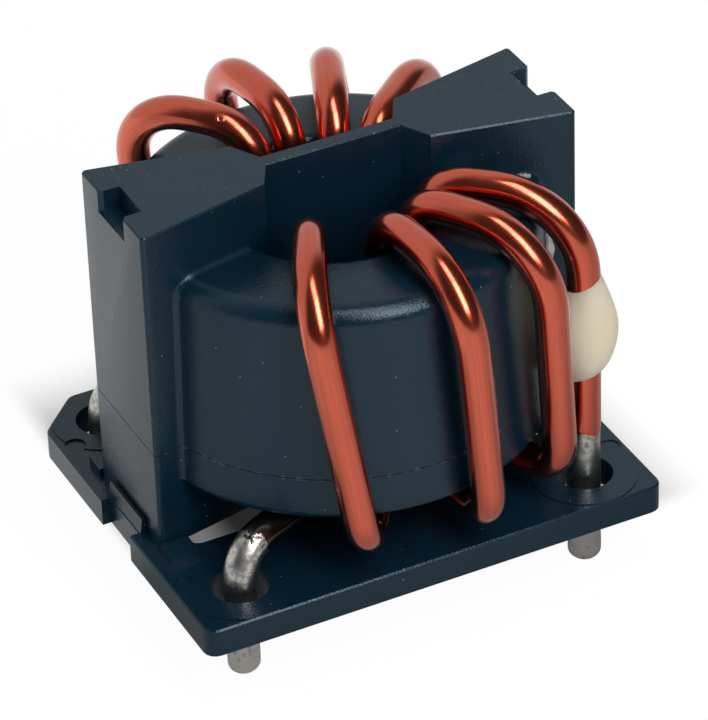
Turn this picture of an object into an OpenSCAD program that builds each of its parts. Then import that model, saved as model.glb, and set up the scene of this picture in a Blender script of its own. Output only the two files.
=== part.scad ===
// Common mode choke for a circuit board. A ring core sits in a two-part moulded case, and a thick
// enamelled wire is wound round the case on each side of a dividing wall that is thin across the
// core's hole and widens into an end block at each end. The end blocks stand on a moulded base plate,
// and the tinned wire ends pass through the plate as pins.
// The origin is the centre of the plate's underside, +X runs along the dividing wall, +Z is up.

/* [Core] */
// Outer diameter of the ring core
core_d = 34; // [30:0.5:40]
// Diameter of the ring core's hole
core_hole_d = 23.2; // [21:0.2:25]
// Height of the ring core
core_h = 18.3; // [14:0.1:22]

/* [Case] */
// Thickness of the case's walls, floor and roof
case_wall = 1.4; // [1:0.1:1.6]
// Clearance between the core and the case
core_gap = 0.2; // [0.1:0.05:0.4]
// Height of the lower case half round the core
tray_h = 4.35; // [3:0.05:8]
// Height of the lip with which the lower half enters the upper one
lip_h = 1.2; // [0.6:0.1:1.6]
// Clearance between the lip and its rebate
lip_gap = 0.1; // [0.05:0.05:0.2]
// Widening of the case's side from its rim down to its foot
case_draft = 0.6; // [0.2:0.1:0.7]
// Rounding of the case's upper outer rim
rim_r = 1.8; // [1:0.1:2.4]
// Rounding of the rims at the hole and at the case's foot
small_rim_r = 0.9; // [0.3:0.1:1.2]
// Room between the base plate and the case for the wire's lower runs
under_room = 5.7; // [5:0.1:8]

/* [Dividing wall] */
// Thickness of the wall where it crosses the hole
divider_t = 1.45; // [1:0.05:2]
// Height of the wall above the case
divider_rise = 5.75; // [3:0.25:7]
// Half length of the thin stretch
thin_half = 6.5; // [5:0.1:7]
// Distance from the middle at which the end blocks begin
block_start = 8.05; // [7.6:0.05:9]
// Width of an end block where it begins
block_root_w = 7.25; // [5:0.25:8]
// Width of an end block at its outer end
block_end_w = 12.7; // [10:0.1:13]
// Rounding of the blocks' upright edges
block_edge_r = 0.4; // [0.3:0.1:1.5]
// Bevel along the blocks' upper edges
block_bevel = 0.15; // [0.1:0.05:0.25]
// Rounding in the corners between the blocks and the case
inner_corner_r = 0.6; // [0.3:0.1:1]
// Width of the notch in the top of each block's end
notch_w = 4.6; // [3:0.1:6]
// Depth of that notch into the block
notch_depth = 1.95; // [1:0.05:3]
// Height of that notch
notch_h = 2.25; // [1:0.05:4]
// Flare of the notch's mouth on each side
notch_flare = 0.4; // [0.1:0.1:0.8]

/* [Base plate] */
// Plate beyond the case at each end
plate_end = 4.05; // [3.2:0.05:6]
// Plate beyond the case at each side
plate_side = 0.75; // [0.5:0.05:3]
// Thickness of the base plate
base_t = 2.75; // [2:0.05:4]
// Rounding of the plate's corners
base_corner_r = 1.2; // [0.6:0.1:2]
// Leg of the marked corner's chamfer
base_chamfer = 4; // [3:0.5:5]
// Bevel along the plate's upper edge
base_bevel = 0.15; // [0.1:0.05:0.5]
// Strip of plate left outside each end block
end_margin = 1.6; // [1.2:0.1:2.5]
// Length of the ledge under each block's end
ledge_len = 2.75; // [1.5:0.05:4]
// Width of the window under the dividing wall
window_w = 14.2; // [13.6:0.1:16]
// Rounding of the window's corners
window_corner_r = 1; // [0.5:0.1:2]
// Diameter of the holes for the pins
pin_hole_d = 5.3; // [4:0.1:6]
// Diameter of the raised land round each hole
land_d = 9.8; // [7:0.1:12]
// Height of that land
land_h = 0.1; // [0.05:0.05:0.4]
// Diameter of the marks that the ejector pins leave beside the pin holes
ejector_d = 2; // [1:0.1:2.4]
// Depth of those marks
ejector_depth = 0.1; // [0.05:0.05:0.3]
// Distance of those marks from the plate's ends
ejector_inset = 1.4; // [1.3:0.1:2]
// Distance of those marks from the pins, across the plate
ejector_shift = 2.5; // [2:0.1:4]

/* [Locating ribs and latches] */
// Length of a rib along the base plate
rib_len = 2.7; // [1.5:0.1:4]
// Width of a rib
rib_w = 2.3; // [1:0.1:3]
// Height of a rib
rib_h = 0.75; // [0.4:0.05:2]
// Clearance between a block's foot and its ribs and latch
foot_gap = 0.15; // [0.05:0.05:0.3]
// Width of the recess in the plate's end at the latch
recess_w = 6.1; // [4:0.1:9]
// Depth of that recess
recess_depth = 0.85; // [0.4:0.05:0.9]
// Width of a latch
latch_w = 6.8; // [4:0.1:8]
// Height of a latch above the plate
latch_h = 1.55; // [0.8:0.05:3]
// Thickness of a latch at its upper edge
latch_tip_t = 0.3; // [0.2:0.05:0.4]
// Height up to which a latch is upright on its outer side, below the plate's top
latch_drop = 0.45; // [0.2:0.05:1]

/* [Wire] */
// Diameter of the enamelled wire
wire_d = 3.1; // [2.4:0.1:3.2]
// Diameter of the tinned pins
pin_d = 3; // [2.2:0.1:3]
// Length of the pins below the base plate
pin_len = 6.2; // [3:0.1:8]
// Bevel of the pin's tip
pin_tip = 0.4; // [0.1:0.1:0.8]
// Distance of the pins from the plate's ends
pin_inset_x = 5.45; // [5.2:0.05:6]
// Distance of the pins from the plate's sides
pin_inset_y = 4.95; // [4.5:0.05:5.2]
// Clearance between the wire and the case
wire_gap = 0.15; // [0.05:0.05:0.4]
// Clearance between neighbouring turns in the hole
turn_gap = 0.36; // [0.2:0.02:0.6]
// Clearance between the last turn and the end block beside it
block_gap = 0.35; // [0.2:0.05:0.6]
// Drop of the lower runs below the case
run_gap = 0.35; // [0.3:0.05:1]
// Height of the turns' crowns above the case, at the wire's middle
crown_rise = 3.6; // [3:0.1:5]
// How far the turns may stand off the case's side
bow_out = 1.05; // [0.8:0.05:2.5]
// Radius of the bends below the hole
run_bend_r = 3; // [2.4:0.1:3.1]
// Radius of the bends below the case's side
foot_bend_r = 3.1; // [2.8:0.1:3.2]
// Radius of a turn's inner shoulder, as a share of the room between its legs
inner_bend_share = 0.28; // [0.24:0.01:0.32]
// Radius of a turn's outer shoulder, as a share of that room
outer_bend_share = 0.58; // [0.5:0.01:0.59]
// Where a starting lead turns to its pin, as a share of the way from its rise to the case's side
lead_knee_share = 0.57; // [0.4:0.01:0.7]

/* [Glue] */
// Height of the glue's lower end above the base plate
glue_low = 10.8; // [6:0.2:12]
// Height of the glue along the wire
glue_h = 10.8; // [8:0.1:12]
// Thickness of the glue round the wire
glue_t = 1.3; // [0.8:0.1:2]

/* [Hidden] */
plastic = "#22272c";
enamel = "#b5482a";
$fn = 64;
overrun = 0.5;
wire_sides = 12;
dab_sides = 36;
bend_step = 18;
edge_step = 22.5;
rim_step = 15;

// Places of the rising legs in the hole, in turns counted back from the last one, and the arc in
// degrees that they may take up.
front_rise_turns = [4, 2, 1, 0];
back_rise_turns = [3.2, 2.15, 1, 0];
rise_arc = 92.5;
// Azimuths in degrees, counted for the front winding and mirrored for the back one: where each turn's
// outer shoulder lies, and where it passes under the case.
front_shoulder_az = [-121.5, -84.8, -59.5];
front_foot_az = [-110.4, -78.8, -53.3];
back_shoulder_az = [-124.3, -94, -65.4];
back_foot_az = [-115, -86, -56.5];
// Shares of the crown's height, of the stand-off and of the two shoulders' radii, turn by turn.
front_crown_shares = [0.86, 0.71, 0.75, 0.69];
front_bow_shares = [0.05, 0.6, 1];
front_inner_shares = [1.14, 1, 1, 1];
front_outer_shares = [0.83, 0.95, 1, 1.1];
back_crown_shares = [1.14, 1.13, 0.98, 0.64];
back_bow_shares = [0.05, 0.05, 0.05];
back_inner_shares = [1.3, 1.3, 1.3, 1];
back_outer_shares = [0.78, 0.78, 0.78, 0.85];

// Case
cavity_r = core_d / 2 + core_gap;
cavity_in_r = core_hole_d / 2 - core_gap;
case_r = cavity_r + case_wall;
foot_r = case_r + case_draft;
hole_r = cavity_in_r - case_wall;
case_z = base_t + under_room;
floor_z = case_z + case_wall;
roof_z = floor_z + core_h + core_gap;
case_top = roof_z + case_wall;
parting_z = case_z + tray_h;
divider_top = case_top + divider_rise;
lip_t = case_wall / 2;

// Base plate
base_len = 2 * (case_r + plate_end);
base_w = 2 * (case_r + plate_side);
pin_x = base_len / 2 - pin_inset_x;
pin_y = base_w / 2 - pin_inset_y;
block_end = base_len / 2 - end_margin;
window_len = 2 * (block_end - ledge_len);
latch_x = block_end + foot_gap;
recess_x = base_len / 2 - recess_depth;
ejector_x = base_len / 2 - ejector_inset;
ejector_y = pin_y - ejector_shift;

// An end block's face on the side of +X and +Y: where it begins, its way and its azimuth
face_start = [block_start, block_root_w / 2];
face_dir = unit([block_end - block_start, (block_end_w - block_root_w) / 2]);
face_az = atan2(face_dir[1], face_dir[0]);

// Wire. Each ring's corners lie a little outside the wire's radius, so that its area is true.
wire_r = wire_d / 2;
ring_r = wire_r * sqrt(2 * PI / (wire_sides * sin(360 / wire_sides)));
rise_r = hole_r - ring_r - wire_gap;
side_r = foot_r + ring_r + wire_gap;
leg_room = side_r - rise_r;
lead_knee_r = rise_r + lead_knee_share * (case_r - rise_r);
run_z = case_z - run_gap - wire_r;
pin_top = base_t / 2;

// Azimuth of the last rising leg, beside the end block, and the angle from one leg to the next
last_rise_az = -atan2(block_root_w / 2, block_start) - 2 * asin((ring_r + block_gap) / 2 / rise_r);
turn_angle = 2 * asin((wire_d + turn_gap) / 2 / rise_r);

function unit(v) = v / norm(v);
function polar(r, az, z) = [r * cos(az), r * sin(az), z];
function rise_az(turns) = last_rise_az - min(turns * turn_angle, rise_arc);

// Radius of the case's side at a height
function side_at(z) = case_r + case_draft * (case_top - z) / (case_top - case_z);

// How far along a block's face a circle of radius r round the origin meets it
function face_run(r) =
    let (along = face_start * face_dir)
    sqrt(r * r - face_start * face_start + along * along) - along;

// Points of an arc that rounds the corner q on the way from p to n
function bend(p, q, n, r, step) =
    let (
        u = unit(p - q),
        w = unit(n - q),
        gap = acos(max(-1, min(1, u * w))),
        mid = q + unit(u + w) * r / sin(gap / 2),
        start = q + u * r / tan(gap / 2) - mid,
        end = q + w * r / tan(gap / 2) - mid,
        e1 = unit(start),
        e2 = unit(end - (end * e1) * e1),
        count = ceil((180 - gap) / step)
    )
    [for (i = [0:count]) mid + r * (cos(i * (180 - gap) / count) * e1 + sin(i * (180 - gap) / count) * e2)];

// A closed outline with every corner rounded to its own radius
function rounded(points, radii, step = edge_step) =
    let (n = len(points))
    [
        for (i = [0:n - 1])
            each bend(points[(i + n - 1) % n], points[i], points[(i + 1) % n], radii[i], step)
    ];

// The case round the core, as the section of a ring with a sloping side and rounded rims
module ring_profile() {
    points = [[hole_r, case_z], [foot_r, case_z], [case_r, case_top], [hole_r, case_top]];
    polygon(rounded(points, [small_rim_r, small_rim_r, rim_r, small_rim_r], rim_step));
}

// The stretch of that ring between two heights
module case_ring(z0, z1) {
    rotate_extrude()
        intersection() {
            ring_profile();
            translate([hole_r, z0])
                square([foot_r - hole_r, z1 - z0]);
        }
}

// The outline of one end block from above, drawn in from its edges by inset
module block_outline(inset) {
    root = [thin_half, divider_t / 2 - inset];
    start = [block_start, block_root_w / 2 - inset];
    end = [block_end - inset, block_end_w / 2 - inset];
    far = [[end[0], end[1]], [end[0], -end[1]]];
    edge_r = block_edge_r - inset;
    polygon([
        root,
        start,
        each bend(start, far[0], far[1], edge_r, edge_step),
        each bend(far[0], far[1], [start[0], -start[1]], edge_r, edge_step),
        [start[0], -start[1]],
        [root[0], -root[1]]
    ]);
}

// The thin wall's outline, running into both blocks
module wall_outline(inset) {
    square([2 * block_start, divider_t - 2 * inset], center = true);
}

// Dividing wall and end blocks between two heights, with a bevel along the top
module divider(z0, z1, bevel) {
    translate([0, 0, z0]) {
        for (side = [0, 1])
            mirror([side, 0, 0])
                bevelled(z1 - z0, bevel) {
                    block_outline(0);
                    block_outline(bevel);
                }
        bevelled(z1 - z0, bevel) {
            wall_outline(0);
            wall_outline(bevel);
        }
    }
}

// A prism of the first outline whose top edge is drawn in to the second one
module bevelled(h, bevel) {
    if (bevel > 0)
        hull() {
            linear_extrude(h - bevel)
                children(0);
            linear_extrude(h)
                children(1);
        }
    else
        linear_extrude(h)
            children(0);
}

// Runs its children once in each of the four corners between the blocks' faces and the hood, with +X
// along the face, +Y away from it and the origin at the face's beginning
module at_faces() {
    for (flip_x = [0, 1], flip_y = [0, 1])
        mirror([flip_x, 0, 0])
            mirror([0, flip_y, 0])
                translate([each face_start, 0])
                    rotate(face_az)
                        children();
}

// The section of a rounding in a corner at the origin, sunk a little into both walls
module corner_section() {
    sink = case_wall / 2;
    difference() {
        translate([-sink, -sink])
            square(inner_corner_r + sink);
        translate([inner_corner_r, inner_corner_r])
            circle(inner_corner_r);
    }
}

// The rounding up the case's sloping side between two heights
module side_corners(z0, z1) {
    low_run = face_run(side_at(z0));
    lean = (face_run(side_at(z1)) - low_run) / (z1 - z0);
    at_faces()
        translate([low_run, 0, z0])
            multmatrix([[1, 0, lean, 0], [0, 1, 0, 0], [0, 0, 1, 0]])
                linear_extrude(z1 - z0)
                    corner_section();
}

// The rounding round the hood's rim and along its top
module top_corners() {
    rim_run = face_run(case_r) - rim_r;
    start_run = face_run(hole_r + small_rim_r);
    at_faces() {
        translate([rim_run, 0, case_top - rim_r])
            rotate([-90, 0, 0])
                rotate_extrude(angle = -90)
                    translate([rim_r, 0])
                        corner_section();
        translate([start_run, 0, case_top])
            rotate([90, 0, 90])
                linear_extrude(rim_run - start_run)
                    corner_section();
    }
}

// The ring-shaped space for the core
module core_space() {
    translate([0, 0, floor_z])
        ring(cavity_r, cavity_in_r, roof_z - floor_z);
}

module ring(r_out, r_in, h) {
    difference() {
        cylinder(r = r_out, h = h);
        translate([0, 0, -overrun])
            cylinder(r = r_in, h = h + 2 * overrun);
    }
}

// Notches in the top of the blocks' ends, with flared mouths
module end_notches() {
    for (side = [0, 1])
        mirror([side, 0, 0])
            translate([block_end, 0, divider_top - notch_h])
                linear_extrude(notch_h + overrun)
                    polygon([
                        [-notch_depth, notch_w / 2],
                        [-notch_flare, notch_w / 2],
                        [notch_flare, notch_w / 2 + 2 * notch_flare],
                        [notch_flare, -notch_w / 2 - 2 * notch_flare],
                        [-notch_flare, -notch_w / 2],
                        [-notch_depth, -notch_w / 2]
                    ]);
}

// Lower case half: a shallow ring-shaped tray with the feet of the end blocks
module core_tray() {
    color(plastic) {
        difference() {
            union() {
                case_ring(case_z, parting_z);
                divider(base_t, parting_z, 0);
                side_corners(case_z + small_rim_r, parting_z);
            }
            core_space();
        }
        translate([0, 0, parting_z - lip_h])
            ring(cavity_r + lip_t, cavity_r, 2 * lip_h);
        translate([0, 0, parting_z - lip_h])
            ring(cavity_in_r, cavity_in_r - lip_t, 2 * lip_h);
    }
}

// Upper case half: the ring's hood in one moulding with the dividing wall and the end blocks
module core_cover() {
    color(plastic)
        difference() {
            union() {
                case_ring(parting_z, case_top);
                divider(parting_z, divider_top, block_bevel);
                side_corners(parting_z, case_top - rim_r);
                top_corners();
            }
            core_space();
            translate([0, 0, parting_z - overrun])
                ring(cavity_r + lip_t + lip_gap, cavity_in_r - lip_t - lip_gap, overrun + lip_h + lip_gap);
            end_notches();
        }
}

// The ring core, standing on the tray's floor
module ring_core() {
    color("dimgray")
        translate([0, 0, floor_z])
            ring(core_d / 2, core_hole_d / 2, core_h);
}

// The base plate's outline, drawn in from its edges by inset, with the marked corner cut off
module plate_outline(inset) {
    x = base_len / 2 - inset;
    y = base_w / 2 - inset;
    cut = base_chamfer - (2 - sqrt(2)) * inset;
    corner_r = base_corner_r - inset;
    points = [[-x, -y], [x, -y], [x, y], [cut - x, y], [-x, y - cut]];
    polygon(rounded(points, [for (p = points) corner_r]));
}

// The window under the dividing wall
module plate_window() {
    x = window_len / 2;
    y = window_w / 2;
    points = [[-x, -y], [x, -y], [x, y], [-x, y]];
    polygon(rounded(points, [for (p = points) window_corner_r]));
}

module at_pins() {
    for (x = [-pin_x, pin_x], y = [-pin_y, pin_y])
        translate([x, y, 0])
            children();
}

// A sprung latch at the middle of each end, sloping on its outer side
module latch() {
    translate([0, latch_w / 2, 0])
        rotate([90, 0, 0])
            linear_extrude(latch_w)
                polygon([
                    [latch_x, base_t / 2],
                    [recess_x, base_t / 2],
                    [recess_x, base_t - latch_drop],
                    [latch_x + latch_tip_t, base_t + latch_h],
                    [latch_x, base_t + latch_h]
                ]);
}

// Base plate, with lands round the pin holes, ribs beside the blocks' feet and latches at their ends
module base_plate() {
    color(plastic) {
        difference() {
            union() {
                bevelled(base_t, base_bevel) {
                    plate_outline(0);
                    plate_outline(base_bevel);
                }
                intersection() {
                    linear_extrude(base_t + land_h)
                        plate_outline(base_bevel);
                    at_pins()
                        cylinder(d = land_d, h = base_t + land_h);
                }
                for (side = [0, 1], flip = [0, 1])
                    mirror([side, 0, 0])
                        mirror([0, flip, 0])
                            translate([latch_x - rib_len, block_end_w / 2 + foot_gap, 0])
                                cube([rib_len, rib_w, base_t + rib_h]);
            }
            translate([0, 0, -overrun])
                linear_extrude(base_t + 2 * overrun)
                    plate_window();
            translate([0, 0, -overrun])
                at_pins()
                    cylinder(d = pin_hole_d, h = base_t + land_h + 2 * overrun);
            for (x = [-ejector_x, ejector_x], y = [-ejector_y, ejector_y])
                translate([x, y, base_t - ejector_depth])
                    cylinder(d = ejector_d, h = ejector_depth + land_h + overrun);
            for (side = [0, 1])
                mirror([side, 0, 0])
                    translate([recess_x, -recess_w / 2, -overrun])
                        cube([recess_depth + overrun, recess_w, base_t + 2 * overrun]);
        }
        for (side = [0, 1])
            mirror([side, 0, 0])
                latch();
    }
}

// The corners of a winding's centreline with the radius of each bend, from its first pin to its last
function winding_corners(turns, shoulder, foot, crown_shares, bow_shares, inner_shares, outer_shares) =
    let (last = len(turns) - 1)
    [
        [[-pin_x, -pin_y, pin_top], 0],
        [[-pin_x, -pin_y, run_z], run_bend_r],
        [polar(lead_knee_r, rise_az(turns[0]), run_z), run_bend_r],
        for (i = [0:last])
            let (
                az = rise_az(turns[i]),
                crown_z = case_top + crown_rise * crown_shares[i],
                out_r = i < last ? side_r + bow_out * bow_shares[i] : 0,
                inner_r = leg_room * inner_bend_share * inner_shares[i],
                outer_r = leg_room * outer_bend_share * outer_shares[i]
            )
            each [
                [polar(rise_r, az, run_z), run_bend_r],
                [polar(rise_r, az, crown_z), inner_r],
                [i < last ? polar(out_r, shoulder[i], crown_z) : [pin_x, -pin_y, crown_z], outer_r],
                i < last ? [polar(out_r, foot[i], run_z), foot_bend_r] : [[pin_x, -pin_y, pin_top], 0]
            ]
    ];

// The centreline with its bends
function centreline(corners) =
    let (n = len(corners))
    [
        corners[0][0],
        for (i = [1:n - 2])
            each bend(corners[i - 1][0], corners[i][0], corners[i + 1][0], corners[i][1], bend_step),
        corners[n - 1][0]
    ];

// A round bar along a path: one ring of points on each point of the path, turned as little as can be
module bar(path, r, sides) {
    n = len(path);
    along = [for (i = [0:n - 1]) unit(path[min(i + 1, n - 1)] - path[max(i - 1, 0)])];
    across = [
        for (i = 0, a = [1, 0, 0]; i < n; i = i + 1, a = i < n ? unit(a - (a * along[i]) * along[i]) : a)
            a
    ];
    points = [
        for (i = [0:n - 1], k = [0:sides - 1])
            let (turn = k * 360 / sides)
            path[i] + r * (cos(turn) * across[i] + sin(turn) * cross(along[i], across[i]))
    ];
    faces = [
        [for (k = [0:sides - 1]) k],
        for (i = [0:n - 2], k = [0:sides - 1])
            let (a = i * sides + k, b = i * sides + (k + 1) % sides)
            [a, a + sides, b + sides, b],
        [for (k = [sides - 1:-1:0]) (n - 1) * sides + k]
    ];
    polyhedron(points, faces, convexity = 10);
}

// One winding: the enamelled wire and its two tinned pins
module winding(corners) {
    color(enamel) {
        bar(centreline(corners), ring_r, wire_sides);
        for (x = [-pin_x, pin_x])
            translate([x, -pin_y, -pin_len]) {
                cylinder(d1 = pin_d - 2 * pin_tip, d2 = pin_d, h = pin_tip);
                translate([0, 0, pin_tip])
                    cylinder(d = pin_d, h = pin_len - pin_tip + pin_top + overrun);
            }
    }
}

module front_winding() {
    winding(winding_corners(front_rise_turns, front_shoulder_az, front_foot_az,
        front_crown_shares, front_bow_shares, front_inner_shares, front_outer_shares));
}

module back_winding() {
    mirror([0, 1, 0])
        winding(winding_corners(back_rise_turns, back_shoulder_az, back_foot_az,
            back_crown_shares, back_bow_shares, back_inner_shares, back_outer_shares));
}

// A dab of glue that holds the front winding's last leg to the case
module glue_dab() {
    dab_r = wire_r + glue_t;
    leg = [pin_x, -pin_y];
    low = base_t + glue_low;
    cut_low = low - overrun;
    cut_high = low + glue_h + overrun;
    color("cornsilk")
        difference() {
            hull() {
                translate([each leg, low + dab_r])
                    sphere(dab_r, $fn = dab_sides);
                translate([each leg, low + glue_h - dab_r])
                    sphere(dab_r, $fn = dab_sides);
                translate([each side_at(low) * unit(leg), low + glue_h / 2])
                    sphere(dab_r, $fn = dab_sides);
            }
            translate([0, 0, cut_low])
                cylinder(r1 = side_at(cut_low), r2 = side_at(cut_high), h = cut_high - cut_low);
            translate([each leg, cut_low])
                cylinder(r = ring_r + wire_gap / 2, h = cut_high - cut_low);
        }
}

base_plate();
core_tray();
core_cover();
ring_core();
front_winding();
back_winding();
glue_dab();
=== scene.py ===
"""Looks of a common mode choke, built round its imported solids.

The moulded case and plate get soft edges and a grained black finish, the two windings become smooth
enamelled wires with tinned ends, and the glue becomes smooth dabs. The scene is in metres in the
part's own frame, and sizes that are written out are in millimetres.
"""

import math

import bmesh
import bpy
import numpy as np
from mathutils import Matrix, Vector


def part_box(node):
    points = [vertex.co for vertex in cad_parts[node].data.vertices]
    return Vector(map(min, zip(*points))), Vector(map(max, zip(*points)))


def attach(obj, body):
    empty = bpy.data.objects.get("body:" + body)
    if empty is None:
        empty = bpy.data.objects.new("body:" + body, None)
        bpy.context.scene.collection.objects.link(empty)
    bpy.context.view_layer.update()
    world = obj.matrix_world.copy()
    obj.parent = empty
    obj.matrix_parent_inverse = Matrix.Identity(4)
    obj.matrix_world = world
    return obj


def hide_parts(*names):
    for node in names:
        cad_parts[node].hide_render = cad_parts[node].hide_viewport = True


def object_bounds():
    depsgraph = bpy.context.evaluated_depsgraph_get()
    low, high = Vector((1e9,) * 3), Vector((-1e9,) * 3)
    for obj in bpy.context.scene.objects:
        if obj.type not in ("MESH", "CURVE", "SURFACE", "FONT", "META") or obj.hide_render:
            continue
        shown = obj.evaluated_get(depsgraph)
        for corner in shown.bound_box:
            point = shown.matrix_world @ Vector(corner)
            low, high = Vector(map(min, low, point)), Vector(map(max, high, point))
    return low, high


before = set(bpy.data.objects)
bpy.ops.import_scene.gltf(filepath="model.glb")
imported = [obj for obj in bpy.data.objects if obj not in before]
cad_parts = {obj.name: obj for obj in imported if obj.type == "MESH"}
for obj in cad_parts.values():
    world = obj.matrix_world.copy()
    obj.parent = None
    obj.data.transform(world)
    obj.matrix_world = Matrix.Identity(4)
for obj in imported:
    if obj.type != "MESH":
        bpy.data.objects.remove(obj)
cad_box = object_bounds()

MM = 0.001

# The photograph's camera: its place, the point it aims at, its roll in degrees, its lens and sensor,
# and the range of distances that it sees
CAMERA_PLACE = (-150.04, -315.88, 253.35)
CAMERA_AIM = (0.70, -1.79, 13.10)
CAMERA_ROLL = -2.07
LENS = 236.25
SENSOR = 36
CAMERA_RANGE = (10, 10000)

# Case and plate: wall, clearance round the core, widening of the case towards its foot, radius of the
# core's hole, the corner at which an end block begins, and the pins' distances from the plate's edges
CASE_WALL = 1.4
CORE_GAP = 0.2
CASE_DRAFT = 0.6
CORE_HOLE_R = 11.6
BLOCK_ROOT = (8.05, 3.625)
PIN_INSET_X = 5.45
PIN_INSET_Y = 4.95

# Wire: radii of the enamelled and the tinned wire, clearances, bends and turns
WIRE_R = 1.55
TIN_R = 1.5
WIRE_GAP = 0.186
TURN_GAP = 0.36
BLOCK_GAP = 0.386
RUN_DROP = 0.35
CROWN_RISE = 3.6
BOW_OUT = 1.05
RUN_BEND_R = 3
FOOT_BEND_R = 3.1
INNER_BEND_SHARE = 0.28
OUTER_BEND_SHARE = 0.58
LEAD_KNEE_SHARE = 0.57
RISE_ARC = 92.5
BEND_EASE = 2
TIP_ROUND = 0.7

# Each winding turn by turn: places of the rising legs counted back from the last one, azimuths of
# the outer shoulders and of the lower bends, and shares of the crown's height, of the stand-off and
# of the two shoulders' radii. The back winding is laid out like the front one and then mirrored.
FRONT_TURNS = {
    "rise": (4, 2, 1, 0),
    "shoulder": (-121.5, -84.8, -59.5),
    "foot": (-110.4, -78.8, -53.3),
    "crown": (0.86, 0.71, 0.75, 0.69),
    "bow": (0.05, 0.6, 1),
    "inner": (1.14, 1, 1, 1),
    "outer": (0.83, 0.95, 1, 1.1),
}
BACK_TURNS = {
    "rise": (3.2, 2.15, 1, 0),
    "shoulder": (-124.3, -94, -65.4),
    "foot": (-115, -86, -56.5),
    "crown": (1.14, 1.13, 0.98, 0.64),
    "bow": (0.05, 0.05, 0.05),
    "inner": (1.3, 1.3, 1.3, 1),
    "outer": (0.78, 0.78, 0.78, 0.85),
}

# Tinned lengths at a winding's start and end, from the tips of its pins, how far the tin's step is
# spread, and the lengths beyond the first of them that the solder bath has scorched fully and at all
TIN_START = 13.2
TIN_END = 14.1
TIN_FADE = 0.12
SCORCH_FULL = 3.3
SCORCH = 11

# The wire's surface: spacing of its rings, sides of a ring, rings on a tip, the share of the distance
# along the wire that its drawn lines see, and the sines of its enamel's edge and of its solder
WIRE_STEP = 0.33
WIRE_SIDES = 44
TIP_RINGS = 8
DRAWN_OUT = 0.012
ENAMEL_EDGE = ((0.22, 2, 0, 0.6), (0.1, 5, 0, 0))
SOLDER_WAVES = ((0.02, 3, 1.3, 0), (0.025, -2, 0.9, 0))

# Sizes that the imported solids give
core_high = np.array(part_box("ring_core")[1]) / MM
core_low = np.array(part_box("ring_core")[0]) / MM
plate_high = np.array(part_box("base_plate")[1]) / MM
pin_low = cad_box[0].z / MM
case_r = core_high[0] + CORE_GAP + CASE_WALL
hole_r = CORE_HOLE_R - CORE_GAP - CASE_WALL
case_low = core_low[2] - CASE_WALL
case_top = core_high[2] + CORE_GAP + CASE_WALL
pin_x = plate_high[0] - PIN_INSET_X
pin_y = plate_high[1] - PIN_INSET_Y
parting_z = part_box("core_cover")[0][2] / MM
top_z = cad_box[1].z / MM
rise_r = hole_r - WIRE_R - WIRE_GAP
side_r = case_r + CASE_DRAFT + WIRE_R + WIRE_GAP
run_z = case_low - RUN_DROP - WIRE_R


# Shapes

def unit(vectors):
    """Vectors divided by their lengths, along the last axis."""
    return vectors / np.linalg.norm(vectors, axis=-1, keepdims=True)


def polar(r, azimuth, z):
    """The point at a radius, an azimuth in degrees and a height."""
    turn = math.radians(azimuth)
    return np.array([r * math.cos(turn), r * math.sin(turn), z])


def smooth_step(low, high, values):
    """0 below low, 1 above high, and 3t^2 - 2t^3 between them."""
    t = np.clip((values - low) / (high - low), 0, 1)
    return t * t * (3 - 2 * t)


def sines(terms, around, along):
    """A sum of sines. Each term gives its height, its number of waves round a piece, the angle in
    radians that it gains per unit along the piece, and its phase."""
    return sum(height * np.sin(n * around + k * along + phase) for height, n, k, phase in terms)


def bend(before, corner, after, r, step=math.radians(3)):
    """Points of the arc of radius r that touches both straights at a corner: its middle lies on the
    corner's bisector, r / sin(half the angle) away."""
    u, w = unit(before - corner), unit(after - corner)
    gap = math.acos(np.clip(u @ w, -1, 1))
    middle = corner + unit(u + w) * r / math.sin(gap / 2)
    first = unit(corner + u * r / math.tan(gap / 2) - middle)
    last = corner + w * r / math.tan(gap / 2) - middle
    second = unit(last - (last @ first) * first)
    turn = np.linspace(0, math.pi - gap, math.ceil((math.pi - gap) / step) + 1)[:, None]
    return middle + r * (np.cos(turn) * first + np.sin(turn) * second)


def travelled(path):
    """Distance along a path at each of its points."""
    return np.r_[0, np.cumsum(np.linalg.norm(np.diff(path, axis=0), axis=1))]


def points_at(path, distances):
    """Points at given distances along a path."""
    along = travelled(path)
    return np.stack([np.interp(distances, along, path[:, axis]) for axis in range(3)], 1)


def eased(path, reach, step=0.1):
    """A path whose curvature changes gradually: evenly spaced points, each averaged with those
    within reach of it under a raised cosine. The ends carry straight on, so they stay in place."""
    length = travelled(path)[-1]
    even = points_at(path, np.linspace(0, length, math.ceil(length / step) + 1))
    window = np.hanning(2 * round(reach / step) + 3)[1:-1]
    pad = len(window) // 2
    longer = np.pad(even, ((pad, pad), (0, 0)), mode="reflect", reflect_type="odd")
    window = window / window.sum()
    return np.stack([np.convolve(longer[:, axis], window, "valid") for axis in range(3)], 1)


def turned_least(path, upright=0.8):
    """Two unit vectors across a path at each point, turned as little as can be from one point to the
    next: any pair across the path, turned back by the running sum of its own twist."""
    along = unit(np.gradient(path, axis=0))
    steep = np.abs(along[:, 2:]) > upright
    u = unit(np.cross(along, np.where(steep, (1.0, 0, 0), (0, 0, 1.0))))
    v = np.cross(along, u)
    carried = u[:-1] - np.sum(u[:-1] * along[1:], 1, keepdims=True) * along[1:]
    twist = np.arctan2(np.sum(carried * v[1:], 1), np.sum(carried * u[1:], 1))
    turn = np.r_[0, np.cumsum(twist)][:, None]
    return np.cos(turn) * u + np.sin(turn) * v, np.cos(turn) * v - np.sin(turn) * u


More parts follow.
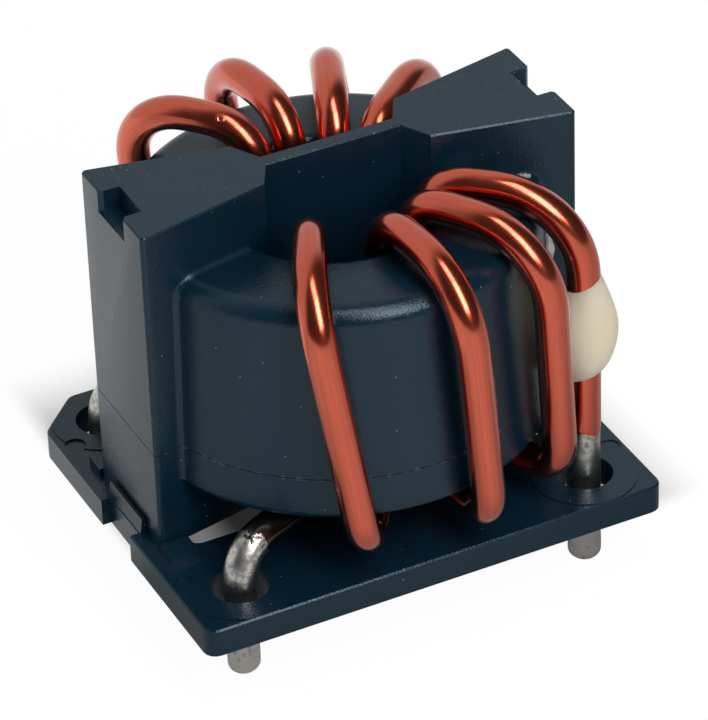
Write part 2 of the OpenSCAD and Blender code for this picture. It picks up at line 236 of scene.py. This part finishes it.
def swept(path, radii, angles):
    """A closed bar: at each point of the path a ring of the radii, which may change along and round
    the bar, in the plane across it. Gives a grid of points, rows along and columns round."""
    u, v = turned_least(path)
    across = np.cos(angles)[None, :, None] * u[:, None] + np.sin(angles)[None, :, None] * v[:, None]
    return path[:, None] + radii[..., None] * across


def piece(name, grid, finish, stands_for=()):
    """A piece from a grid of points in millimetres, closed round its columns and capped on its first
    and last rows, riding on the part's one body."""
    rows, columns = grid.shape[:2]
    row = np.arange(rows - 1)[:, None] * columns
    column = np.arange(columns)[None]
    beside = (column + 1) % columns
    quads = np.stack([row + column, row + beside, row + columns + beside, row + columns + column], -1)
    faces = quads.reshape(-1, 4).tolist()
    faces.append(np.arange(columns)[::-1].tolist())
    faces.append(np.arange((rows - 1) * columns, rows * columns).tolist())
    mesh = bpy.data.meshes.new(name)
    mesh.from_pydata((grid.reshape(-1, 3) * MM).tolist(), [], faces)
    mesh.shade_smooth()
    made = bpy.data.objects.new(name, mesh)
    bpy.context.scene.collection.objects.link(made)
    made.data.materials.append(finish)
    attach(made, "root")
    if stands_for:
        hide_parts(*stands_for)
    return made


# Finishes

class Field:
    """An output of a node, on which arithmetic adds Math nodes."""

    def __init__(self, nodes, socket):
        self.nodes = nodes
        self.socket = socket

    def math(self, operation, first, second):
        return self.nodes.add("ShaderNodeMath", {"operation": operation}, {0: first, 1: second})

    def __add__(self, other):
        return self.math("ADD", self, other)

    def __radd__(self, other):
        return self.math("ADD", other, self)

    def __sub__(self, other):
        return self.math("SUBTRACT", self, other)

    def __rsub__(self, other):
        return self.math("SUBTRACT", other, self)

    def __mul__(self, other):
        return self.math("MULTIPLY", self, other)

    def __rmul__(self, other):
        return self.math("MULTIPLY", other, self)

    def __gt__(self, other):
        return self.math("GREATER_THAN", self, other)

    def __lt__(self, other):
        return self.math("LESS_THAN", self, other)


class Nodes:
    """The node tree of a finish, a floor or the surroundings."""

    def __init__(self, tree):
        self.tree = tree
        tree.nodes.clear()

    def add(self, kind, settings=None, sockets=None, out=0):
        """Adds a node: its settings first, then the values or links of its sockets."""
        node = self.tree.nodes.new(kind)
        for name, value in (settings or {}).items():
            setattr(node, name, value)
        for key, value in (sockets or {}).items():
            if isinstance(value, Field):
                self.tree.links.new(value.socket, node.inputs[key])
            else:
                node.inputs[key].default_value = value
        return Field(self, node.outputs[out]) if node.outputs else node

    def place(self, scale=(1, 1, 1)):
        """The piece's own coordinates in metres, stretched by scale."""
        where = self.add("ShaderNodeTexCoord", out="Object")
        return self.add("ShaderNodeMapping", {}, {"Vector": where, "Scale": scale})

    def along(self, axis):
        """The piece's own coordinate along X, Y or Z, in millimetres."""
        return self.add("ShaderNodeSeparateXYZ", {}, {0: self.place()}, out=axis) * (1 / MM)

    def noise(self, scale, detail=2.0, stretch=(1, 1, 1)):
        """Cloudy values from 0 to 1, with scale counted per metre."""
        sockets = {"Vector": self.place(stretch), "Scale": scale, "Detail": detail}
        return self.add("ShaderNodeTexNoise", {}, sockets)

    def step(self, value, low, high, start=0.0, end=1.0):
        """A smooth step from start to end as the value goes from low to high."""
        sockets = {"Value": value, 1: low, 2: high, 3: start, 4: end}
        return self.add("ShaderNodeMapRange", {"interpolation_type": "SMOOTHSTEP"}, sockets)

    def mix(self, first, second, share):
        """A colour between two colours."""
        return self.add("ShaderNodeMix", {"data_type": "RGBA"}, {0: share, 6: first, 7: second}, out=2)

    def dot(self, vector, axis):
        """The share of a vector that points along an axis."""
        sockets = {0: vector, 1: tuple(axis)}
        return self.add("ShaderNodeVectorMath", {"operation": "DOT_PRODUCT"}, sockets, out="Value")

    def distance(self, point):
        """The distance from a point, in millimetres like the point."""
        sockets = {0: self.place(), 1: tuple(np.array(point) * MM)}
        far = self.add("ShaderNodeVectorMath", {"operation": "DISTANCE"}, sockets, out="Value")
        return far * (1 / MM)

    def specks(self, scale, size, share):
        """A mask of small round specks, one in each of a share of the cells, scale cells to a metre."""
        cells = {"Vector": self.place(), "Scale": scale}
        near = self.add("ShaderNodeTexVoronoi", {}, cells, out="Distance")
        colour = self.add("ShaderNodeTexVoronoi", {}, cells, out="Color")
        chance = self.add("ShaderNodeSeparateColor", {}, {0: colour})
        return self.step(near, size, size * 0.5) * (chance < share)

    def bump(self, height, depth, strength=1.0):
        """A normal from a height field of a depth in millimetres."""
        sockets = {"Height": height, "Distance": depth * MM, "Strength": strength}
        return self.add("ShaderNodeBump", {}, sockets)


def finish(name, build, **constants):
    """A material whose Principled shader takes the varying sockets that build gives, and constants on
    its own sockets."""
    material = bpy.data.materials.new(name)
    material.use_nodes = True
    nodes = Nodes(material.node_tree)
    sockets = build(nodes)
    for key, value in constants.items():
        sockets[key.replace("_", " ").title().replace("Ior", "IOR")] = value
    shader = nodes.add("ShaderNodeBsdfPrincipled", {}, sockets)
    nodes.add("ShaderNodeOutputMaterial", {}, {"Surface": shader})
    return material


BLACK = (0.002, 0.016, 0.031, 1)
BLACK_LIFTED = (0.004, 0.020, 0.037, 1)
SEAM_BLACK = (0.001, 0.002, 0.003, 1)
DUST = (0.30, 0.33, 0.34, 1)
NICK = (0.30, 0.32, 0.33, 1)
PLASTIC = {"specular_tint": (0.74, 0.93, 1, 1), "specular_ior_level": 0.45}

# Half widths of the parting line and of the strip of flash along it, and the heights between which
# scratches, specks of wear and nicks of the edges come in
SEAM_HALF = 0.06
FLASH_HALF = 0.13
SCRATCH_HEIGHTS = (top_z - 0.3, top_z - 0.1)
SPECK_HEIGHTS = (top_z - 1, top_z - 0.3)
NICK_HEIGHTS = (29, 34)


def moulded(nodes):
    """Black moulded plastic: faint clouds, upright draw marks, a fine grain, sparse dust, faint
    scratches and pale specks of wear at the top, and the dark line at which the two halves of the
    case meet, with crumbs of pale flash beside it."""
    clouds = nodes.noise(110, detail=3.0)
    draw = nodes.noise(1, stretch=(1400, 1400, 30))
    grain = nodes.noise(6000, detail=1.0)
    dust = nodes.specks(800, size=0.08, share=0.3)
    height = nodes.along("Z")
    off_seam = nodes.add("ShaderNodeMath", {"operation": "ABSOLUTE"}, {0: height - parting_z})
    seam = off_seam < SEAM_HALF * (0.4 + nodes.noise(900) * 1.2)
    flash = (off_seam < FLASH_HALF) * nodes.step(nodes.noise(1300), 0.5, 0.62) * (1 - seam)
    streaks = nodes.noise(1, stretch=(700, 3000, 420))
    scratch = nodes.step(streaks, 0.64, 0.76) * nodes.step(height, *SCRATCH_HEIGHTS)
    crumbs = nodes.specks(1400, size=0.1, share=0.3) * nodes.step(height, *SPECK_HEIGHTS)
    pale = (dust + crumbs) * 0.6 + flash * 0.3 + scratch * 0.05
    colour = nodes.mix(nodes.mix(BLACK, BLACK_LIFTED, clouds), DUST, pale)
    rough = 0.14 + clouds * 0.06 + draw * 0.05 + grain * 0.04
    return {
        "Base Color": nodes.mix(colour, SEAM_BLACK, seam),
        "Roughness": rough + dust * 0.3 + seam * 0.5 + scratch * 0.1,
        "Normal": nodes.bump(grain + draw * 0.1 + flash * 0.4 - seam * 0.7, depth=0.042, strength=0.7),
    }


def moulded_edge(nodes):
    """The same plastic along its edges, rubbed a little paler and with small pale nicks, most of them
    along the top."""
    wear = nodes.noise(260, detail=3.0)
    nick = nodes.noise(1500)
    grain = nodes.noise(4200)
    near_top = nodes.step(nodes.along("Z"), *NICK_HEIGHTS)
    chipped = nodes.step(nick + wear * 0.5 + near_top * 0.12, 0.87, 0.94)
    return {
        "Base Color": nodes.mix(nodes.mix(BLACK, BLACK_LIFTED, wear), NICK, chipped),
        "Roughness": 0.38 + wear * 0.14,
        "Normal": nodes.bump(grain * 0.6 + chipped * 0.5, depth=0.025, strength=0.5),
    }


ENAMEL = (0.78, 0.13, 0.057, 1)
ENAMEL_DEEP = (0.66, 0.1, 0.044, 1)
TIN = (0.74, 0.71, 0.66, 1)
TIN_DULL = (0.36, 0.35, 0.32, 1)
SCUFF = (0.82, 0.45, 0.33, 1)
SOOT = (0.03, 0.024, 0.02, 1)
BLISTER_GREY = (0.42, 0.26, 0.22, 1)

# The blister on the back wire's first turn: its place, and the distances from it between which its
# rim rises and its crater falls. Then the heights between which the tin turns to that of a pin: a
# little rougher, and painted a touch lighter, which is painted light.
BLISTER = (-6.29, 9.15, 34.7)
BLISTER_RIM = (0.45, 0.3)
BLISTER_CRATER = (0.28, 0.12)
PIN_HEIGHTS = (2, -1)


def enamelled(nodes):
    """Enamelled copper that ends in tinned wire: a deep orange varnish with a clear coat, slightly
    uneven and lined along the wire, with one small blister. Beyond its end comes a bright, lumpy tin,
    with soot on the varnish that the bath scorched."""
    beyond = nodes.add("ShaderNodeAttribute", {"attribute_name": "beyond_enamel"}, out="Fac")
    scorched = nodes.add("ShaderNodeAttribute", {"attribute_name": "scorched"}, out="Fac")
    drawn = nodes.add("ShaderNodeAttribute", {"attribute_name": "drawn"}, out="Vector")
    lines = nodes.add("ShaderNodeTexNoise", {}, {"Vector": drawn, "Scale": 7, "Detail": 3.0})
    clouds = nodes.noise(160)
    ripple = nodes.noise(420, detail=1.0)
    lumps = nodes.noise(800, detail=3.0)
    pits = nodes.noise(2600)
    tinned = nodes.step(beyond + scorched * (pits - 0.5) * 3, -0.1, 0.1)
    scuffs = nodes.specks(260, size=0.06, share=0.12)
    varnish = nodes.mix(ENAMEL, ENAMEL_DEEP, clouds * 0.6 + nodes.step(lines, 0.42, 0.62) * 0.6)
    varnish = nodes.mix(varnish, SCUFF, scuffs)
    from_blister = nodes.distance(BLISTER)
    blister = nodes.step(from_blister, *BLISTER_RIM)
    crater = nodes.step(from_blister, *BLISTER_CRATER)
    varnish = nodes.mix(varnish, BLISTER_GREY, crater * 0.6)
    sooty = nodes.step(scorched + pits * 0.5, 0.55, 0.75)
    varnish = nodes.mix(varnish, SOOT, sooty)
    pin = nodes.step(nodes.along("Z"), *PIN_HEIGHTS)
    mottle = nodes.noise(2100, detail=3.0)
    # The tin below the plate is painted a touch lighter than the rest of the tin, a painted light
    tin = nodes.mix(TIN, TIN_DULL, nodes.step(mottle + lumps * 0.3 - pin * 0.08, 0.58, 0.84))
    rough_tin = 0.14 + mottle * 0.36 + pin * 0.1
    uneven = ripple * 0.12 + lines * 0.05 + blister - crater * 1.6
    uneven = uneven + (tinned + sooty) * (lumps * 0.4 + mottle * 0.35)
    rough_varnish = 0.17 + clouds * 0.05 + lines * 0.06 + sooty * 0.15
    return {
        "Base Color": nodes.mix(varnish, tin, tinned),
        "Roughness": rough_varnish + tinned * (rough_tin - rough_varnish),
        "Coat Weight": 1 - tinned,
        "Normal": nodes.bump(uneven, depth=0.06, strength=0.5),
    }


CREAM = (0.78, 0.68, 0.51, 1)
CREAM_CLOUD = (0.73, 0.66, 0.53, 1)
TRANSLUCENT = {
    "subsurface_weight": 0.8,
    "subsurface_scale": 1,
    "subsurface_radius": (0.006, 0.005, 0.0036),
}


def hot_melt(nodes):
    """Set glue: cream and slightly cloudy, with a soft, gently uneven skin."""
    clouds = nodes.noise(230)
    return {
        "Base Color": nodes.mix(CREAM, CREAM_CLOUD, nodes.step(clouds, 0.35, 0.7)),
        "Roughness": 0.42 + clouds * 0.12,
        "Normal": nodes.bump(nodes.noise(420, detail=1.0), depth=0.05, strength=0.35),
    }


GREY = (0.055, 0.053, 0.052, 1)
GREY_LIGHT = (0.09, 0.088, 0.085, 1)


def sintered(nodes):
    """The ring core's grey ceramic, matt and finely speckled."""
    grain = nodes.noise(3000, detail=3.0)
    return {
        "Base Color": nodes.mix(GREY, GREY_LIGHT, grain),
        "Roughness": 0.62 + grain * 0.2,
        "Normal": nodes.bump(grain, depth=0.02, strength=0.5),
    }


case_plastic = finish("case_plastic", moulded, **PLASTIC)
case_edge = finish("case_edge", moulded_edge, **PLASTIC)
plate_plastic = finish("plate_plastic", moulded, **PLASTIC)
plate_edge = finish("plate_edge", moulded_edge, **PLASTIC)
wire_enamel = finish("wire_enamel", enamelled, metallic=1.0, coat_roughness=0.09)
glue = finish("glue", hot_melt, **TRANSLUCENT)
core_grey = finish("core_grey", sintered)


# Windings

last_rise_az = (
    -math.degrees(math.atan2(BLOCK_ROOT[1], BLOCK_ROOT[0]))
    - 2 * math.degrees(math.asin((WIRE_R + BLOCK_GAP) / 2 / rise_r))
)
turn_angle = 2 * math.degrees(math.asin((2 * WIRE_R + TURN_GAP) / 2 / rise_r))


def winding_route(turns):
    """The wire's middle line from pin tip to pin tip: straights between corners in the hole, at the
    crowns, at the outer shoulders and under the case, with every corner bent to its own radius."""
    rises = [last_rise_az - min(count * turn_angle, RISE_ARC) for count in turns["rise"]]
    knee_r = rise_r + LEAD_KNEE_SHARE * (case_r - rise_r)
    room = side_r - rise_r
    corners = [np.array([-pin_x, -pin_y, pin_low]), np.array([-pin_x, -pin_y, run_z])]
    corners.append(polar(knee_r, rises[0], run_z))
    radii = [0, RUN_BEND_R, RUN_BEND_R]
    for i, rise in enumerate(rises):
        crown_z = case_top + CROWN_RISE * turns["crown"][i]
        corners += [polar(rise_r, rise, run_z), polar(rise_r, rise, crown_z)]
        if i < len(rises) - 1:
            out_r = side_r + BOW_OUT * turns["bow"][i]
            corners.append(polar(out_r, turns["shoulder"][i], crown_z))
            corners.append(polar(out_r, turns["foot"][i], run_z))
        else:
            corners += [np.array([pin_x, -pin_y, crown_z]), np.array([pin_x, -pin_y, pin_low])]
        inner_r = room * INNER_BEND_SHARE * turns["inner"][i]
        outer_r = room * OUTER_BEND_SHARE * turns["outer"][i]
        radii += [RUN_BEND_R, inner_r, outer_r, FOOT_BEND_R]
    arcs = [bend(*corners[i - 1 : i + 2], radii[i]) for i in range(1, len(corners) - 1)]
    return eased(np.concatenate([corners[:1], *arcs, corners[-1:]]), BEND_EASE)


def winding(name, node, turns, mirror):
    """A round bar along the route. Its radius is the tinned wire's near the ends, with shallow waves
    of solder, and the enamelled wire's between them, and each tip is rounded by a quarter circle. The
    enamel's edge wanders round the wire by two sines. The place for its drawn lines is the cosine and
    sine round the wire and a small share of the distance along it."""
    route = winding_route(turns) * (1, mirror, 1)
    length = travelled(route)[-1]
    tip = TIP_ROUND * (1 - np.cos(np.linspace(0, math.pi / 2, TIP_RINGS)))
    middle = np.arange(TIP_ROUND, length - TIP_ROUND, WIRE_STEP)[1:-1]
    along = np.r_[tip, middle, length - tip[::-1]][:, None]
    angles = np.linspace(0, 2 * math.pi, WIRE_SIDES, endpoint=False)
    ragged = sines(ENAMEL_EDGE, angles, along)
    beyond = np.maximum(TIN_START + ragged - along, along - (length - TIN_END - ragged))
    tinned = smooth_step(-TIN_FADE, TIN_FADE, beyond)
    radii = WIRE_R + tinned * (TIN_R + sines(SOLDER_WAVES, angles, along) - WIRE_R)
    from_tip = np.minimum(np.minimum(along, length - along), TIP_ROUND)
    radii = radii - TIP_ROUND + np.sqrt(TIP_ROUND**2 - (TIP_ROUND - from_tip) ** 2)
    bar = swept(points_at(route, along[:, 0]), radii, angles)
    made = piece(name, bar, wire_enamel, [node])
    scorched = (1 - smooth_step(SCORCH_FULL, SCORCH, along - TIN_START)) * np.ones_like(beyond)
    for attribute, values in (("beyond_enamel", beyond), ("scorched", scorched)):
        stored = made.data.attributes.new(attribute, "FLOAT", "POINT")
        stored.data.foreach_set("value", values.astype(np.float32).ravel())
    drawn = np.stack(np.broadcast_arrays(np.cos(angles), np.sin(angles), DRAWN_OUT * along), -1)
    stored = made.data.attributes.new("drawn", "FLOAT_VECTOR", "POINT")
    stored.data.foreach_set("vector", drawn.astype(np.float32).ravel())


winding("front_wire", "front_winding", FRONT_TURNS, 1)
winding("back_wire", "back_winding", BACK_TURNS, -1)


# Glue

# The dab on the front winding's last leg: heights of its ends, how far they rise towards an azimuth,
# its thickness over the wire and towards the case, how deep its ends sink into the wire, and its lumps
DAB_LOW = 14.1
DAB_HIGH = 23.6
DAB_TILT = 0.65
DAB_UP_AZ = -25
DAB_T = 1.48
DAB_CASE_T = 0.9
DAB_SINK = 0.03
DAB_LUMPS = ((0.05, 3, 5, 0), (0.03, 2, -9, 0))


def glue_dab(rows=56, columns=64, crowding=1.4):
    """A pear round the leg: at height share t the skin stands off the wire by t^0.6 (1 - t), scaled
    to its thickness, which grows as a squared cosine towards the case. The whole dab is tilted, and
    its rows crowd towards its foot."""
    t = np.linspace(0, 1, rows)[:, None] ** crowding
    angles = np.linspace(0, 2 * math.pi, columns, endpoint=False)[None]
    to_case = np.maximum(0, np.cos(angles - math.atan2(pin_y, -pin_x))) ** 2
    swell = t**0.6 * (1 - t)
    lumps = 1 + sines(DAB_LUMPS, angles, t)
    r = WIRE_R - DAB_SINK + (DAB_T + DAB_CASE_T * to_case) * lumps * swell / swell.max()
    z = DAB_LOW + (DAB_HIGH - DAB_LOW) * t + DAB_TILT * np.cos(angles - math.radians(DAB_UP_AZ))
    return np.stack([pin_x + r * np.cos(angles), -pin_y + r * np.sin(angles), z], -1)


# Smears of the same glue in the corner between the case and the right end block, and over the rim:
# the points and the radius of each, and for both the easing of the route, the share of it that each
# end leaves out, and the sines of the radius along and round the bead
SMEARS = {
    "corner_glue": (((18.42, -6.02, 19.6), (18.36, -6.05, 21.6), (18.3, -6.0, 23.6)), 0.42),
    "rim_glue": (((16.75, -5.75, 29.8), (16.3, -5.65, 29.85), (15.7, -5.5, 29.85)), 0.26),
}
SMEAR_EASE = 0.8
SMEAR_END = 0.01
SMEAR_WAVER = ((0.18, 0, 14, 0.5),)
SMEAR_RIDGES = ((0.1, 3, 0, 0),)


def smear(route, radius, rows=40, columns=24):
    """A bead along a short route, whose radius swells as a root of a sine, wavers along the bead and
    has faint ridges round it."""
    line = eased(np.array(route), SMEAR_EASE)
    share = np.linspace(SMEAR_END, 1 - SMEAR_END, rows)[:, None]
    angles = np.linspace(0, 2 * math.pi, columns, endpoint=False)
    waver = (1 + sines(SMEAR_WAVER, angles, share)) * (1 + sines(SMEAR_RIDGES, angles, share))
    radii = radius * np.sqrt(np.sin(math.pi * share)) * waver
    return swept(points_at(line, share[:, 0] * travelled(line)[-1]), radii, angles)


piece("leg_glue", glue_dab(), glue, ["glue_dab"])
for name, (route, radius) in SMEARS.items():
    piece(name, smear(route, radius), glue)


# Mouldings

# Widths of the rounded edges and the steps over one, the angles in degrees from which an edge is sharp
# and up to which faces are flat, and the distance within which corners merge
CASE_EDGE = 0.1
PLATE_EDGE = 0.12
EDGE_STEPS = 3
SHARP = 30
FLAT = 0.5
MERGE = 0.001


def soft_edged(name, node, face, edge, width):
    """A copy of a moulded solid with its corners merged, its flat faces joined and every sharp edge
    rounded. The rounded strips take the edge's own finish."""
    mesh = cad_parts[node].data.copy()
    mesh.name = name
    work = bmesh.new()
    work.from_mesh(mesh)
    bmesh.ops.remove_doubles(work, verts=work.verts, dist=MERGE * MM)
    bmesh.ops.dissolve_limit(work, angle_limit=math.radians(FLAT), verts=work.verts, edges=work.edges)
    work.to_mesh(mesh)
    work.free()
    if "custom_normal" in mesh.attributes:
        mesh.attributes.remove(mesh.attributes["custom_normal"])
    mesh.materials.clear()
    mesh.materials.append(face)
    mesh.materials.append(edge)
    mesh.shade_smooth()
    made = bpy.data.objects.new(name, mesh)
    bpy.context.scene.collection.objects.link(made)
    rounding = made.modifiers.new("edges", "BEVEL")
    rounding.width = width * MM
    rounding.segments = EDGE_STEPS
    rounding.limit_method = "ANGLE"
    rounding.angle_limit = math.radians(SHARP)
    rounding.harden_normals = True
    rounding.material = 1
    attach(made, "root")
    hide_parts(node)


soft_edged("cover_moulding", "core_cover", case_plastic, case_edge, CASE_EDGE)
soft_edged("tray_moulding", "core_tray", case_plastic, case_edge, CASE_EDGE)
soft_edged("plate_moulding", "base_plate", plate_plastic, plate_edge, PLATE_EDGE)

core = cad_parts["ring_core"]
core.data.materials.clear()
core.data.materials.append(core_grey)


# Stage: a white floor, softboxes, a bright backdrop behind and a dim room in front. The camera sees
# the floor white in the open, and shaded where it shows only through the plate's holes and window.

# The floor's half side, its grey where light falls on it, its level for the camera, and how much of
# what is seen of it shines
FLOOR_HALF = 1500
FLOOR_GREY = 0.8
FLOOR_WHITE = 1.04
OPEN_SHARE = 0.92

# The shaded rectangle, each side from its outer to its inner edge, its own level, and the glimpse of
# light in it, each side from its dim to its full edge
SHADE_X = ((-19.7, -16.7), (33, 19))
SHADE_Y = ((-12.4, -9.4), (38, 20))
UNDER_PLATE = 0.018
GLIMPSE_X = (-8.6, -12.6)
GLIMPSE_Y = (0, 3)
GLIMPSE = 0.155

# The floor in reflections: its levels at the sides, in front and behind, the share of them that is left
# next to the plate, which is a painted shade, and how far that reaches, and the shares of a place's
# direction, along the camera's way and the way to the backdrop, between which the levels change
GLOSS_SIDE = 0.42
GLOSS_FRONT = 0.74
GLOSS_BACK = 0.42
GLOSS_NEAR = 0.45
NEAR_REACH = 30
FRONT_FADE = (-0.2, -0.95)
BACK_FADE = (0.25, 0.55)

# The surroundings: levels of the room and of the backdrop, the shares of a direction towards the
# backdrop between which one becomes the other, and its azimuth from the camera's way
ROOM = 0.07
BACKDROP = 0.74
BACKDROP_FADE = (-0.02, 0.34)
BACKDROP_AZ = 40

# Lamps: each one's azimuth, elevation, distance, sides and radiance, and the height that all aim at
KEY_SOFTBOX = (8, 40, 450, (170, 290), 7)
UPPER_SOFTBOX = (8, 71, 450, (150, 190), 4.5)
FILL_SOFTBOX = (-55, 30, 600, (500, 400), 0.7)
LAMP_AIM = 15

# The camera's way over the floor, and the way to the backdrop, which lies to its left
way = unit(np.subtract(CAMERA_AIM, CAMERA_PLACE) * (1, 1, 0))
backdrop_way = polar(1, math.degrees(math.atan2(way[1], way[0])) + BACKDROP_AZ, 0)


def floor():
    """A square that is lit like any surface. The camera and reflections also see it shine, not
    inside a soft rectangle below the plate, which is a painted shade, but for a glimpse of light by the
    plate's window, which is a painted light. In reflections it is brighter in front and behind than at
    the sides, by the share of a place's distance that lies along two axes, and dimmer close to the
    plate, which is a painted shade."""
    mesh = bpy.data.meshes.new("floor")
    square = np.array([(-1, -1), (1, -1), (1, 1), (-1, 1)]) * FLOOR_HALF
    mesh.from_pydata((np.c_[square, np.full(4, pin_low)] * MM).tolist(), [], [(0, 1, 2, 3)])
    made = bpy.data.objects.new("floor", mesh)
    bpy.context.scene.collection.objects.link(made)
    material = bpy.data.materials.new("floor")
    material.use_nodes = True
    nodes = Nodes(material.node_tree)
    x, y = nodes.along("X"), nodes.along("Y")
    # Painted shade below the plate, with a glimpse of painted light by the plate's window
    shaded = 1.0
    for along, edges in ((x, SHADE_X), (y, SHADE_Y)):
        for outside, inside in edges:
            shaded = nodes.step(along, outside, inside) * shaded
    glimpse = UNDER_PLATE + nodes.step(x, *GLIMPSE_X) * nodes.step(y, *GLIMPSE_Y) * GLIMPSE
    bright = 1 - shaded * (1 - glimpse)
    seen = nodes.add("ShaderNodeLightPath", out="Is Camera Ray")
    mirrored = nodes.add("ShaderNodeLightPath", out="Is Glossy Ray")
    outward = nodes.add("ShaderNodeVectorMath", {"operation": "NORMALIZE"}, {0: nodes.place()})
    gloss = nodes.step(nodes.dot(outward, way), *FRONT_FADE, GLOSS_SIDE, GLOSS_FRONT)
    beside, before = (
        nodes.add("ShaderNodeMath", {"operation": "ABSOLUTE"}, {0: along}) - half
        for along, half in zip((x, y), plate_high)
    )
    away = nodes.add("ShaderNodeMath", {"operation": "MAXIMUM"}, {0: beside, 1: before})
    # Painted shade: in reflections the floor is dimmer next to the plate
    gloss = gloss * nodes.step(away, 0, NEAR_REACH, GLOSS_NEAR, 1)
    gloss = gloss + nodes.step(nodes.dot(outward, backdrop_way), *BACK_FADE, 0, GLOSS_BACK)
    lit = nodes.add("ShaderNodeBsdfDiffuse", {}, {"Color": (FLOOR_GREY, FLOOR_GREY, FLOOR_GREY, 1)})
    strength = bright * (seen * FLOOR_WHITE + mirrored * gloss)
    shine = nodes.add("ShaderNodeEmission", {}, {"Strength": strength})
    both = nodes.add("ShaderNodeMixShader", {}, {0: (seen + mirrored) * OPEN_SHARE, 1: lit, 2: shine})
    nodes.add("ShaderNodeOutputMaterial", {}, {"Surface": both})
    made.data.materials.append(material)


def surroundings():
    """White for the camera. For light and reflections, bright behind and to the left and dim
    elsewhere, by the share of a direction that points to the backdrop."""
    world = bpy.data.worlds.new("studio")
    bpy.context.scene.world = world
    world.use_nodes = True
    nodes = Nodes(world.node_tree)
    back = nodes.dot(nodes.add("ShaderNodeTexCoord", out="Generated"), backdrop_way)
    seen = nodes.add("ShaderNodeLightPath", out="Is Camera Ray")
    level = nodes.step(back, *BACKDROP_FADE, ROOM, BACKDROP)
    sky = nodes.add("ShaderNodeBackground", {}, {"Strength": level + seen * (1 - level)})
    nodes.add("ShaderNodeOutputWorld", {}, {"Surface": sky})


def softbox(name, azimuth, elevation, distance, size, radiance, mirrored=True):
    """An area lamp of a radiance, its power being pi times radiance times area. It looks at the
    part's middle from an azimuth counted from the front and an elevation, in degrees, and shows in
    reflections or not."""
    data = bpy.data.lights.new(name, "AREA")
    data.shape = "RECTANGLE"
    data.size, data.size_y = (side * MM for side in size)
    data.energy = math.pi * radiance * data.size * data.size_y
    lamp = bpy.data.objects.new(name, data)
    bpy.context.scene.collection.objects.link(lamp)
    around, up = math.radians(azimuth), math.radians(elevation)
    out = Vector((math.sin(around) * math.cos(up), -math.cos(around) * math.cos(up), math.sin(up)))
    lamp.location = (Vector((0, 0, LAMP_AIM)) + out * distance) * MM
    lamp.rotation_euler = (-out).to_track_quat("-Z", "Y").to_euler()
    lamp.visible_glossy = mirrored


def photograph_camera():
    """The camera of the photograph, looking from its place to its aim and rolled about that line."""
    data = bpy.data.cameras.new("camera")
    data.sensor_width = SENSOR
    data.lens = LENS
    data.clip_start, data.clip_end = (limit * MM for limit in CAMERA_RANGE)
    camera = bpy.data.objects.new("camera", data)
    bpy.context.scene.collection.objects.link(camera)
    aimed = (Vector(CAMERA_AIM) - Vector(CAMERA_PLACE)).to_track_quat("-Z", "Y")
    turn = aimed.to_matrix().to_4x4() @ Matrix.Rotation(math.radians(CAMERA_ROLL), 4, "Z")
    camera.matrix_world = Matrix.Translation(Vector(CAMERA_PLACE) * MM) @ turn
    bpy.context.scene.camera = camera


floor()
surroundings()
softbox("key_softbox", *KEY_SOFTBOX)
softbox("upper_softbox", *UPPER_SOFTBOX)
softbox("fill_softbox", *FILL_SOFTBOX, mirrored=False)
photograph_camera()
bpy.context.scene.view_settings.view_transform = "Standard"
